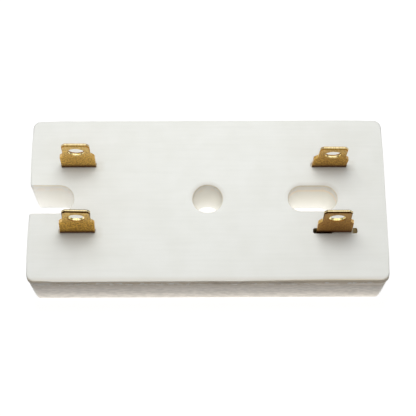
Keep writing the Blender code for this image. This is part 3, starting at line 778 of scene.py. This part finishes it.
def coin_tip(mesh, middle, through):
    """Widen the coined edge along the front of the tip."""
    top = max(mesh.faces, key=lambda face: face.calc_center_median().z)
    tip, up = top.calc_center_median(), top.normal.copy()
    for vertex in mesh.verts:
        height = (vertex.co - tip).dot(up)
        depth = (vertex.co - middle).dot(through)
        if abs(height) < TIP_COINING / 2 and depth < 0:
            vertex.co += through * TIP_COINING
        elif abs(height + 2 * TIP_COINING) < TIP_COINING / 2 and depth < -3 * TIP_COINING:
            vertex.co -= up * TIP_COINING


def slot_filling(node, material):
    """The cement that fills the slot round a blade, just under the deck."""
    (x, y), length, _, _ = TERMINALS[node]
    middle = Vector((x * MM, y * MM, DECK))
    spread = Matrix.Diagonal((length * MM, SLOT_WIDTH, 1, 1))
    mesh = bmesh.new()
    bmesh.ops.create_grid(mesh, x_segments=SLOT_FILL_GRID[0], y_segments=SLOT_FILL_GRID[1],
                          size=0.5, matrix=Matrix.Translation(middle) @ spread)
    top = mesh.verts[:]
    grown = bmesh.ops.extrude_face_region(mesh, geom=mesh.faces[:])["geom"]
    bottom = [item for item in grown if isinstance(item, bmesh.types.BMVert)]
    bmesh.ops.translate(mesh, verts=bottom, vec=(0, 0, -SLOT_FILL))
    for vertex in top:
        lumps = sum(noise.noise(vertex.co / size) for size in SLOT_LUMP_SIZES)
        reach = abs(vertex.co.x - middle.x) / (length * MM / 2)
        vertex.co.z += SLOT_FILL_LUMPS * lumps - SLOT_FILL_SINK - SLOT_END_SINK * reach ** 12
    bmesh.ops.recalc_face_normals(mesh, faces=mesh.faces)
    return add_piece(node.replace("terminal", "slot_cement"), mesh, [material])


def wire_coil(node, material):
    """A coil with its wire rounded off: its triangles are paired, and then subdivided."""
    mesh = bmesh.new()
    mesh.from_mesh(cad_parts[node].data)
    bmesh.ops.remove_doubles(mesh, verts=mesh.verts, dist=MERGE_DISTANCE)
    bmesh.ops.join_triangles(mesh, faces=mesh.faces, angle_face_threshold=WIRE_FACE_ANGLE,
                             angle_shape_threshold=WIRE_SHAPE_ANGLE)
    piece = add_piece(node + "_wire", mesh, [material], node)
    piece.modifiers.clear()
    rounding = piece.modifiers.new("rounding", "SUBSURF")
    rounding.levels = 1
    rounding.render_levels = 1
    return piece


def cement_filling(node, material):
    """Cement that has crept up to the trough's walls, with a lumpy poured face."""
    mesh = copy_of_node(node)
    low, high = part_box(node)
    trough_low, trough_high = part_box("cement_block_rear")
    for vertex in mesh.verts:
        if vertex.co.z < low.z + MERGE_DISTANCE:
            for axis, (first, last) in enumerate(((trough_low.x, trough_high.x), (low.y, high.y))):
                if abs(vertex.co[axis] - first) < CEMENT_EDGE:
                    vertex.co[axis] -= CEMENT_CREEP
                if abs(vertex.co[axis] - last) < CEMENT_EDGE:
                    vertex.co[axis] += CEMENT_CREEP
    for axis in (0, 1):
        normal = Vector((1 - axis, axis, 0))
        place = low[axis] + CEMENT_GRID
        while place < high[axis]:
            bmesh.ops.bisect_plane(mesh, geom=mesh.verts[:] + mesh.edges[:] + mesh.faces[:],
                                   plane_co=normal * place, plane_no=normal)
            place += CEMENT_GRID
    mesh.normal_update()
    for vertex in mesh.verts:
        if vertex.co.z < low.z + MERGE_DISTANCE:
            small, large = (noise.noise(vertex.co / size) for size in CEMENT_LUMP_SIZES)
            vertex.co.z += (small + 0.5 * large) * CEMENT_LUMPS
    return add_piece(node + "_cast", mesh, [material], node)


def white_stage():
    """A white floor, lit from below like a light table, mostly near the block."""
    mesh = bmesh.new()
    bmesh.ops.create_grid(mesh, x_segments=1, y_segments=1, size=FLOOR_SIZE,
                          matrix=Matrix.Translation((0, 0, -FLOOR_DROP)))
    data = bpy.data.meshes.new("floor")
    mesh.to_mesh(data)
    mesh.free()
    floor = bpy.data.objects.new("floor", data)
    bpy.context.scene.collection.objects.link(floor)

    material = bpy.data.materials.new("white_floor")
    material.use_nodes = True
    tree = material.node_tree
    tree.nodes.clear()

    # The table glows beside the block, less so under it, and hardly at all farther off
    away = outside_block(tree, add_node(tree, "ShaderNodeTexCoord").outputs["Object"])
    glow = add_node(tree, "ShaderNodeMapRange",
                    {"From Min": 0.0, "From Max": GLOW_REACH, "To Min": GLOW_NEAR,
                     "To Max": GLOW_FAR}, {"Value": away})
    under = add_node(tree, "ShaderNodeMapRange",
                     {"From Min": 0.0, "From Max": -1 * MM, "To Min": 0.0,
                      "To Max": GLOW_UNDER - GLOW_NEAR}, {"Value": away})
    total = add_node(tree, "ShaderNodeMath", {}, {0: glow.outputs[0], 1: under.outputs[0]},
                     operation="ADD")
    table = add_node(tree, "ShaderNodeEmission", {}, {"Strength": total.outputs[0]})

    # What the camera and reflections see is white, less the block's faint shadow
    paint = add_node(tree, "ShaderNodeBsdfDiffuse", {"Color": colour("#8C8C8A")})
    white = add_node(tree, "ShaderNodeEmission", {"Strength": FLOOR_WHITE})
    painted = add_node(tree, "ShaderNodeAddShader", {}, {0: paint.outputs[0],
                                                         1: white.outputs[0]})
    both = add_node(tree, "ShaderNodeMixShader", {}, {0: white_rays(tree), 1: table.outputs[0],
                                                      2: painted.outputs[0]})

    # Clear from underneath, so that the block's back can be looked at
    clear = add_node(tree, "ShaderNodeBsdfTransparent")
    back = add_node(tree, "ShaderNodeNewGeometry").outputs["Backfacing"]
    one_sided = add_node(tree, "ShaderNodeMixShader", {}, {0: back, 1: both.outputs[0],
                                                           2: clear.outputs[0]})
    add_node(tree, "ShaderNodeOutputMaterial", {}, {"Surface": one_sided.outputs[0]})
    data.materials.append(material)


def white_rays(tree):
    """1 for the rays of the camera, of reflections and of transmission, and 0 for the rest."""
    paths = add_node(tree, "ShaderNodeLightPath")
    seen = add_node(tree, "ShaderNodeMath", {}, {0: paths.outputs["Is Camera Ray"],
                                                 1: paths.outputs["Is Glossy Ray"]},
                    operation="MAXIMUM")
    both = add_node(tree, "ShaderNodeMath", {}, {0: seen.outputs[0],
                                                 1: paths.outputs["Is Transmission Ray"]},
                    operation="MAXIMUM")
    return both.outputs[0]


def studio_world():
    """White behind the block, and for everything else a room with a bright ceiling.

    The blades mirror the bright room. What falls on the block, or is mirrored by a blade onto
    it, is the weaker fill, so that the shade beside the blades stays as deep as in the photo.
    """
    world = bpy.data.worlds.new("studio")
    bpy.context.scene.world = world
    world.use_nodes = True
    tree = world.node_tree
    tree.nodes.clear()
    paths = add_node(tree, "ShaderNodeLightPath")
    direction = add_node(tree, "ShaderNodeTexCoord").outputs["Generated"]
    split = add_node(tree, "ShaderNodeSeparateXYZ", links={0: direction})
    room = add_node(tree, "ShaderNodeMapRange",
                    {"From Min": ROOM_RISE[0], "From Max": ROOM_RISE[1],
                     "To Min": ROOM_LIGHT[0], "To Max": ROOM_LIGHT[1]},
                    {"Value": split.outputs["Z"]}, interpolation_type="SMOOTHSTEP")
    fill = add_node(tree, "ShaderNodeMapRange",
                    {"From Min": FILL_RISE[0], "From Max": FILL_RISE[1],
                     "To Min": FILL_LIGHT[0], "To Max": FILL_LIGHT[1]},
                    {"Value": split.outputs["Z"]})
    first = add_node(tree, "ShaderNodeMath", {1: 0.5}, {0: paths.outputs["Diffuse Depth"]},
                     operation="LESS_THAN")
    mirror = add_node(tree, "ShaderNodeMath", {}, {0: first.outputs[0],
                                                   1: paths.outputs["Is Glossy Ray"]},
                      operation="MULTIPLY")
    mirrored = add_node(tree, "ShaderNodeMix", {},
                        {MIX_SHARE: mirror.outputs[0], NUMBER_A: fill.outputs[0],
                         NUMBER_B: room.outputs[0]})
    strength = add_node(tree, "ShaderNodeMix", {NUMBER_B: 1.0},
                        {MIX_SHARE: paths.outputs["Is Camera Ray"],
                         NUMBER_A: mirrored.outputs[NUMBER_RESULT]})
    light = add_node(tree, "ShaderNodeBackground", {"Color": colour("#FFFFFF")},
                     {"Strength": strength.outputs[NUMBER_RESULT]})
    add_node(tree, "ShaderNodeOutputWorld", {}, {"Surface": light.outputs[0]})


def area_lamp(name, place, target, size, power):
    """A rectangular lamp that looks at a point."""
    data = bpy.data.lights.new(name, "AREA")
    data.shape = "RECTANGLE"
    data.size, data.size_y = size
    data.energy = power
    lamp = bpy.data.objects.new(name, data)
    bpy.context.scene.collection.objects.link(lamp)
    turn = (place - target).to_track_quat("Z", "Y").to_matrix().to_4x4()
    lamp.matrix_world = Matrix.Translation(place) @ turn
    lamp.visible_camera = False
    lamp.visible_glossy = False


def even_lamp(name, place, target, size, radiance):
    """A lamp as bright as a lit surface of its size and radiance."""
    area_lamp(name, place, target, size, radiance * pi * size[0] * size[1])


def opening_lights():
    """What lights the openings: the table under them, their near walls, and the notch's mouth."""
    for number, (middle, length, width, radiance, bounce, share) in enumerate(PANES):
        even_lamp(f"pane_{number}", Vector((middle, 0, 0)) * MM, Vector((middle * MM, 0, DECK)),
                  (length * MM, width * MM), radiance)
        even_lamp(f"bounce_{number}", Vector((middle * MM, -width * MM / 2, DECK * share)),
                  Vector((middle * MM, 0, DECK * share)), (length * MM, DECK * BOUNCE_SPAN),
                  bounce)
    notch_width = PANES[0][2] * MM
    even_lamp("mouth", Vector((LOWEST.x, 0, DECK * MOUTH_HEIGHT)),
              Vector((0, 0, DECK * MOUTH_HEIGHT)), (notch_width, DECK * MOUTH_SPAN), MOUTH_LIGHT)


def photo_camera():
    """The camera at the photograph's viewing angle."""
    data = bpy.data.cameras.new("camera")
    data.sensor_width = CAMERA_SENSOR
    data.lens = CAMERA_LENS
    data.clip_start = 10 * MM
    camera = bpy.data.objects.new("camera", data)
    bpy.context.scene.collection.objects.link(camera)
    turn = (Matrix.Rotation(radians(CAMERA_YAW), 4, "Z")
            @ Matrix.Rotation(radians(90 - CAMERA_ELEVATION), 4, "X")
            @ Matrix.Rotation(radians(CAMERA_ROLL), 4, "Z"))
    camera.matrix_world = (Matrix.Translation(CAMERA_TARGET) @ turn
                           @ Matrix.Translation((0, 0, CAMERA_DISTANCE)))
    bpy.context.scene.camera = camera


def dress():
    """Every piece, with its material."""
    ceramic = steatite()
    wire = oxidised_wire()
    cement = cast_cement()
    ceramic_block(ceramic)
    filling = slot_cement()
    # Coined edges have a lighter copy for the rear blades and a dark brown one for the front
    # blades: painted highlight and painted shade, as the edges mirror the bright or the dark of
    # the room
    bright_coined = cut_brass("bright_coined_brass", "#E0B464", "#B88A3C", 0.35)
    side_coined = cut_brass("side_coined_brass", "#E0A850", "#B07C34", 0.6)
    coined_painted_dark = cut_brass("coined_brass_painted_shade", "#5E3A12", "#40260A", 0.35)
    # Pale brass for the clean cut's upward faces in the holes, a painted highlight
    sheared = cut_brass("sheared_brass", "#FFF6C8", "#F4DA84", 0.25)
    torn = cut_brass("torn_brass", "#C89040", "#8A5C22", 0.7)
    tip = cut_brass("sheared_tip_brass", "#E8DAAC", "#D0BC88", 0.3)
    shoulder = cut_brass("shoulder_brass", "#F2CC78", "#BC8A3C", 0.35)
    for node, (_, _, tarnish, paleness) in TERMINALS.items():
        rear = "rear" in node
        # The rear blades get the lighter coined copies, the front blades the dark painted-shade
        # copy
        coined = [bright_coined, side_coined] if rear else [coined_painted_dark, coined_painted_dark]
        rolled = rolled_brass(node.replace("terminal", "rolled_brass"), tarnish, paleness)
        terminal_blade(node, [rolled, *coined, sheared, torn, shoulder, tip])
        slot_filling(node, filling)
    wire_coil("heavy_coil", wire)
    wire_coil("fine_coil", wire)
    for node in CEMENTS:
        cement_filling(node, cement)


photo_camera()
white_stage()
studio_world()
area_lamp("softbox", KEY_PLACE, Vector((0, 0, DECK)), (KEY_SIZE, KEY_SIZE), KEY_POWER)
opening_lights()
dress()
bpy.context.scene.view_settings.view_transform = "Standard"
